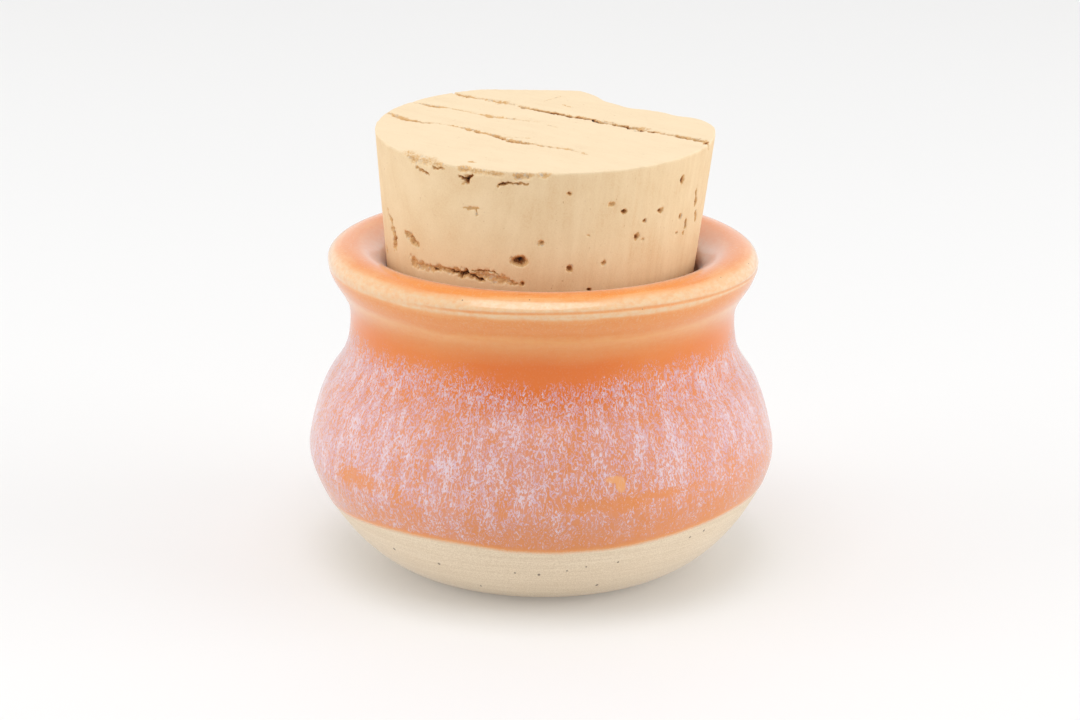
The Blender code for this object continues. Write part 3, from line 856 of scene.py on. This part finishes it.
def stroke(spots, route, margin, swell):
    """Sink and darkness in mm and 0-1 at flat spots along a route of (x, y, half width, sink, darkness)."""
    sink = np.zeros(len(spots))
    dark = np.zeros(len(spots))
    for first, last in zip(route, route[1:]):
        start, end = np.array(first[:2]), np.array(last[:2])
        run = end - start
        share_along = np.clip((spots - start) @ run / (run @ run), 0.0, 1.0)
        gap = np.linalg.norm(spots - start - share_along[:, None] * run, axis=1)
        width, deep, ink = np.array(first[2:])[:, None] + np.outer(np.subtract(last, first)[2:], share_along)
        cover = falloff(gap / (width * swell + margin))
        sink = np.maximum(sink, cover * deep)
        dark = np.maximum(dark, np.sqrt(cover) * ink)
    return sink, dark


def pit(spots, across, down, width, height, sink, ink, margin):
    """Sink and darkness of one egg-shaped hollow."""
    half = np.array((0.5 * width + margin, 0.5 * height + margin))
    cover = falloff(np.linalg.norm((spots - (across, down)) / half, axis=1))
    return cover * sink, np.sqrt(cover) * ink


def rough(points, scale, depth=2):
    """Fractal noise about nought at points in mm."""
    return np.array([noise.fractal(Vector(p) * scale, 0.6, 2.0, depth) for p in points])


def flat_places(cork, points):
    """Places of the cork's points in mm: along and across the grain, and round the side and down it."""
    x, y, z = (points / MM).T
    turn = cork.grain_turn
    grain = np.column_stack([x * cos(turn) + y * sin(turn), y * cos(turn) - x * sin(turn)])
    radius = cork.top_radius / MM
    inset = radius - np.hypot(x, y)
    down = np.where(z < -1e-4, -z, -inset)
    side = np.column_stack([np.arctan2(y, x) * radius, down])
    return grain, side


def carved(cork, points, margin=0.0):
    """How far each point sinks, in mm, and how dark it is."""
    grain, side = flat_places(cork, points)
    radius = cork.top_radius / MM
    fine = np.column_stack([rough(points / MM, 1.7), rough(points / MM + 40.0, 1.7)]) * 0.16
    sway = fine + np.column_stack([np.zeros(len(points)), 0.3 * rough(points / MM + 80.0, 0.9)])
    swell = np.clip(1.0 + 0.9 * rough(points / MM + 120.0, 1.1), 0.4, 1.8)
    near_top = np.clip(1.0 - np.maximum(side[:, 1], 0.0) / 1.2, 0.0, 1.0)
    marks = [np.multiply(stroke(grain + sway, route, margin, swell), near_top) for route in TOP_STROKES]
    for route in SIDE_STROKES:
        unrolled = [(radians(spot[0]) * radius, *spot[1:]) for spot in route]
        marks.append(stroke(side + fine, unrolled, margin, swell))
    for azimuth, down, *form in (*SIDE_PITS, *back_pits()):
        marks.append(pit(side + 0.9 * fine, radians(azimuth) * radius, down, *form, margin))
    return np.max(marks, axis=0)


def refine(shape, cork, rounds=2):
    """Splits the mesh's cells near cracks, pits and the rim."""
    for level in range(rounds):
        edges = list(shape.edges)
        middles = np.array([(edge.verts[0].co + edge.verts[1].co) * 0.5 for edge in edges])
        sink, _ = carved(cork, middles, 0.35 / (level + 1))
        _, side = flat_places(cork, middles)
        close = sink > 0.002
        close |= np.abs(side[:, 1]) < 0.5 / (level + 1)
        chosen = [edge for edge, wanted in zip(edges, close) if wanted]
        bmesh.ops.subdivide_edges(shape, edges=chosen, cuts=1, use_grid_fill=True)


def break_depth(cork, x, y):
    """How deep the broken face lies under the top at a place on the disc, in mm."""
    along = x * cos(cork.grain_turn) + y * sin(cork.grain_turn)
    across = y * cos(cork.grain_turn) - x * sin(cork.grain_turn)
    places, steps = zip(*BREAK_EDGE)
    steady = sum(np.interp(along + shift, places, steps) for shift in (-0.7, 0.0, 0.7)) / 3.0
    edge = cork.break_across / MM + steady
    beyond = (across - edge) / cork.break_lean
    worn = (y - cork.worn_back / MM) / 0.8
    soft = cork.break_soft / MM
    return soft * np.logaddexp(np.logaddexp(0.0, beyond / soft), worn / soft)


def shape_cork(mesh, cork):
    """Moves the points of the plain cork: break, rounded rim, cracks, pits and fine roughness."""
    points = np.empty(len(mesh.vertices) * 3)
    mesh.vertices.foreach_get("co", points)
    points = points.reshape(-1, 3)
    grain, side = flat_places(cork, points)
    sink, dark = carved(cork, points)
    x, y, z = (points / MM).T
    radius = cork.top_radius / MM
    reach = np.hypot(x, y)
    turn = np.arctan2(y, x)
    total = cork.length / MM

    # where the break meets the side, the column starts lower down
    start = np.zeros(len(points))
    for _ in range(12):
        rim = radius - cork.taper * start
        start = np.minimum(break_depth(cork, rim * np.cos(turn), rim * np.sin(turn)), 9.0)
    start = np.where(start < 0.02, 0.0, start)
    on_top = side[:, 1] <= 0.0
    depth = np.where(on_top, 0.0, -z)
    lowered = start + depth * (1.0 - start / total)
    column = radius - cork.taper * lowered
    plane = reach * (1.0 - cork.taper * start / radius)
    new_reach = np.where(on_top, plane, column)
    x, y = new_reach * np.cos(turn), new_reach * np.sin(turn)
    z = np.where(on_top, -break_depth(cork, x, y), -lowered)

    # rounded rim, more worn in some places than others
    ring = np.column_stack([np.cos(turn), np.sin(turn), 0 * turn]) * 9.0
    wear = np.clip(cork.edge / MM * (1.0 + 0.8 * rough(ring, 1.0)), 0.15, 0.8)
    from_rim = np.clip(1.0 - np.abs(side[:, 1]) / wear, 0.0, 1.0)
    drop = 0.29 * wear * from_rim ** 2
    tilt = np.clip(0.5 + 0.6 * side[:, 1], 0.0, 1.0)

    # fine roughness: layers on the top, knife marks down the side
    layers = rough(np.column_stack([grain[:, 0] * 0.15, grain[:, 1], z]), 1.6, 3) * 0.03
    knife = rough(np.column_stack([side[:, 0] * 2.2, side[:, 1] * 0.06, 0 * z]), 1.0, 2)
    marked = np.exp(-((np.degrees(turn) + 42.0) / 26.0) ** 2)
    cuts = knife * (0.012 + 0.03 * marked)
    grit = rough(np.column_stack([x, y, z]), 2.6, 3) * 0.02
    inner = rough(np.column_stack([x, y, z]), 2.2, 3) * np.clip(sink, 0.0, 0.5) * 0.5
    lower = sink + drop + inner - grit - np.where(on_top, layers, cuts)
    new_reach = new_reach - lower * tilt - drop * (1 - tilt)
    z = z - lower * (1.0 - tilt) - drop * tilt
    moved = np.column_stack([new_reach * np.cos(turn), new_reach * np.sin(turn), z])
    moved[:, 0] += cork.skew * moved[:, 2]
    mesh.vertices.foreach_set("co", (moved * MM).ravel())
    # face marks the top, which the material paints paler as painted light from above
    for name, values in (("ink", dark), ("face", np.clip(0.8 - side[:, 1] / 0.5, 0.0, 1.0))):
        mesh.attributes.new(name, "FLOAT", "POINT").data.foreach_set("value", values)
    mesh.update()


def natural_cork(look, cork):
    """Cut cork with growth layers, brown crack linings, painted shade in the deepest hollows, and a top face
    painted paler by light from above.
    """
    material, g, shader = new_material("natural cork")
    body = g.node("ShaderNodeTexCoord").outputs["Object"]
    along_grain = {"Vector": body, "Rotation": (0.0, 0.0, -cork.grain_turn)}
    mm = g.scaled(g.node("ShaderNodeMapping", along_grain).outputs["Vector"], 1000.0, 1000.0, 1000.0)
    ink = g.attribute("ink")
    layers = g.noise(mm, (0.16, 1.3, 0.14), 4.0, 0.6, 0.3, 1.0)
    cloud = g.noise(mm, (0.22, 0.3, 0.22), 3.0, 0.5, 0.2, 2.0)
    grain = g.noise(mm, (4.5, 6.0, 4.5), 4.0, 0.7, 0.0, 3.0)
    tone = g.weighted((layers, 0.3), (cloud, 0.3), (grain, 0.4))
    flesh = g.ramp(tone, [(0.38, look.tan), (0.48, look.flesh), (0.60, look.light_flesh)])
    # the top face is mixed towards a paler colour: painted light from above
    flesh = g.mix(g.times(g.attribute("face"), 0.55), flesh, look.face)
    fleck = g.noise(mm, (1.1, 3.4, 1.6), 3.0, 0.6, 0.4, 4.0)
    flesh = g.mix(g.ease(fleck, 0.66, 0.74, 0.0, 0.45), flesh, look.bark)

    # cracks and pits darken from their frayed edges inwards: ochre and grey dust at the edges, a brown
    # lining, and near-black painted shade at the deepest
    fray = g.noise(mm, (3.0, 4.5, 3.0), 3.0, 0.65, 0.5, 5.0)
    depth = g.add(ink, g.swing(fray, g.times(g.ease(ink, 0.02, 0.22), 1.1)))
    dusty = g.noise(mm, (0.8, 1.6, 1.2), 3.0, 0.6, 0.4, 6.0)
    edge = g.mix(g.times(g.ease(dusty, 0.52, 0.64), g.ease(ink, 0.25, 0.50, 1.0, 0.0)), look.ochre, look.dust)
    tint = g.mix(g.ease(depth, 0.06, 0.30, 0.0, 0.95), flesh, edge)
    tint = g.mix(g.ease(depth, 0.42, 0.74), tint, look.bark)
    g.feed(shader.inputs["Base Color"], g.mix(g.ease(depth, 0.70, 1.02), tint, look.hollow))
    shader.inputs["Roughness"].default_value = look.roughness
    lift = g.add(g.weighted((grain, 0.7), (layers, 0.5)), g.times(fray, g.times(ink, -1.5)))
    g.bump(shader, lift, 0.7, 0.05)
    return material


def cut_cork(cork, look):
    """The natural cork, replacing the plain tapered solid."""
    shape = cork_grid(cork)
    refine(shape, cork)
    bmesh.ops.recalc_face_normals(shape, faces=shape.faces)
    mesh = bpy.data.meshes.new("natural_cork")
    shape.to_mesh(mesh)
    shape.free()
    shape_cork(mesh, cork)
    lean = Matrix.Rotation(cork.lean_right, 4, "Y") @ Matrix.Rotation(cork.lean_front, 4, "X")
    seat = Matrix.Translation((cork.shift, 0.0, cork.seat_height))
    mesh.transform(seat @ lean @ Matrix.Translation((0.0, 0.0, cork.rise)))
    mesh.shade_smooth()
    mesh.materials.append(natural_cork(look, cork))
    piece = new_object("natural_cork", mesh)
    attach(piece, "root")
    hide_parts("cork")
    return piece


def floor_piece(stage):
    """A wide pale floor."""
    material, g, shader = new_material("pale floor")
    cloud = g.noise(g.node("ShaderNodeTexCoord").outputs["Object"], (3.0, 3.0, 3.0), seed=1.0)
    tint = g.mix(g.ease(cloud, 0.3, 0.7, 0.0, 0.05), stage.floor, (0.80, 0.80, 0.80))
    g.feed(shader.inputs["Base Color"], tint)
    shader.inputs["Roughness"].default_value = 0.6
    shader.inputs["Specular IOR Level"].default_value = 0.2
    # the floor glows a little: painted light that lifts the shadows round the foot
    shader.inputs["Emission Color"].default_value = (1.0, 0.98, 0.95, 1.0)
    shader.inputs["Emission Strength"].default_value = stage.floor_glow
    mesh = bpy.data.meshes.new("floor")
    far = FLOOR_REACH
    corners = [(-far, -far, 0.0), (far, -far, 0.0), (far, far, 0.0), (-far, far, 0.0)]
    mesh.from_pydata(corners, [], [(0, 1, 2, 3)])
    mesh.materials.append(material)
    floor = new_object("floor", mesh)


def softbox(name, place, size, power, mirrored):
    """A rectangular lamp aimed at the jar. One that isn't mirrored leaves no highlight in the glaze."""
    light = bpy.data.lights.new(name, "AREA")
    light.shape = "RECTANGLE"
    light.size, light.size_y = size
    light.energy = power
    lamp = new_object(name, light)
    lamp.location = place
    lamp.rotation_euler = (Vector(LAMP_TARGET) - Vector(place)).to_track_quat("-Z", "Y").to_euler()
    lamp.visible_glossy = mirrored


def set_stage(stage):
    """Camera at the photograph's angle, pale floor and soft white light from all sides."""
    scene = bpy.context.scene
    lens = bpy.data.cameras.new("camera")
    lens.lens = stage.lens
    lens.sensor_width = 36.0
    lens.clip_start = 0.01
    lens.clip_end = 50.0
    camera = new_object("camera", lens)
    camera.location = (stage.camera_right, -stage.camera_back, stage.camera_height)
    view = Matrix.Rotation(0.5 * pi - stage.pitch, 4, "X") @ Matrix.Rotation(stage.roll, 4, "Z")
    camera.rotation_euler = view.to_euler()
    scene.camera = camera
    floor_piece(stage)
    world = bpy.data.worlds.new("white tent")
    world.use_nodes = True
    g = Graph(world.node_tree)
    sky = world.node_tree.nodes["Background"]
    toward = g.split(g.node("ShaderNodeTexCoord").outputs["Generated"])
    bright = g.times(g.ease(toward["Y"], -1.0, 0.1, 0.62, 1.12), g.ease(toward["Z"], 0.0, 0.7, 1.26, 0.88))
    g.feed(sky.inputs["Color"], g.joined(bright, bright, bright))
    sky.inputs["Strength"].default_value = stage.sky
    scene.world = world
    for lamp in LAMPS:
        softbox(*lamp)
    scene.view_settings.view_transform = "Standard"


class CORKED_JAR_OT_throw_jar(bpy.types.Operator):
    """Throw the jar on the wheel and glaze it"""

    bl_idname = "corked_jar.throw_jar"
    bl_label = "Throw and glaze the jar"

    def execute(self, context):
        throw_jar(context.scene.jar_sizes, context.scene.glaze_look)
        return {"FINISHED"}


class CORKED_JAR_OT_cut_cork(bpy.types.Operator):
    """Cut the cork and press it into the jar's throat"""

    bl_idname = "corked_jar.cut_cork"
    bl_label = "Cut the cork"

    def execute(self, context):
        cut_cork(context.scene.cork_sizes, context.scene.cork_look)
        return {"FINISHED"}


class CORKED_JAR_OT_set_stage(bpy.types.Operator):
    """Set the camera, the pale floor and the soft light"""

    bl_idname = "corked_jar.set_stage"
    bl_label = "Set the stage"

    def execute(self, context):
        set_stage(context.scene.stage_look)
        return {"FINISHED"}


GROUPS = {
    "jar_sizes": JarSizes,
    "glaze_look": GlazeLook,
    "cork_sizes": CorkSizes,
    "cork_look": CorkLook,
    "stage_look": StageLook,
}
OPERATORS = (CORKED_JAR_OT_throw_jar, CORKED_JAR_OT_cut_cork, CORKED_JAR_OT_set_stage)


class CORKED_JAR_PT_sidebar(bpy.types.Panel):
    """Sizes, colours and steps of the corked jar"""

    bl_idname = "CORKED_JAR_PT_sidebar"
    bl_label = "Corked jar"
    bl_space_type = "VIEW_3D"
    bl_region_type = "UI"
    bl_category = "Jar"

    def draw(self, context):
        for name, group in GROUPS.items():
            box = self.layout.box()
            box.label(text=name.replace("_", " ").capitalize())
            for key in group.__annotations__:
                box.prop(getattr(context.scene, name), key)
        for operator in OPERATORS:
            self.layout.operator(operator.bl_idname)


def register():
    for group in (*GROUPS.values(), *OPERATORS, CORKED_JAR_PT_sidebar):
        bpy.utils.register_class(group)
    for name, group in GROUPS.items():
        setattr(bpy.types.Scene, name, PointerProperty(type=group))


def unregister():
    for name in GROUPS:
        delattr(bpy.types.Scene, name)
    for group in (CORKED_JAR_PT_sidebar, *reversed(OPERATORS), *reversed(GROUPS.values())):
        bpy.utils.unregister_class(group)


def main():
    register()
    bpy.ops.corked_jar.set_stage()
    bpy.ops.corked_jar.throw_jar()
    bpy.ops.corked_jar.cut_cork()


if __name__ == "__main__":
    main()
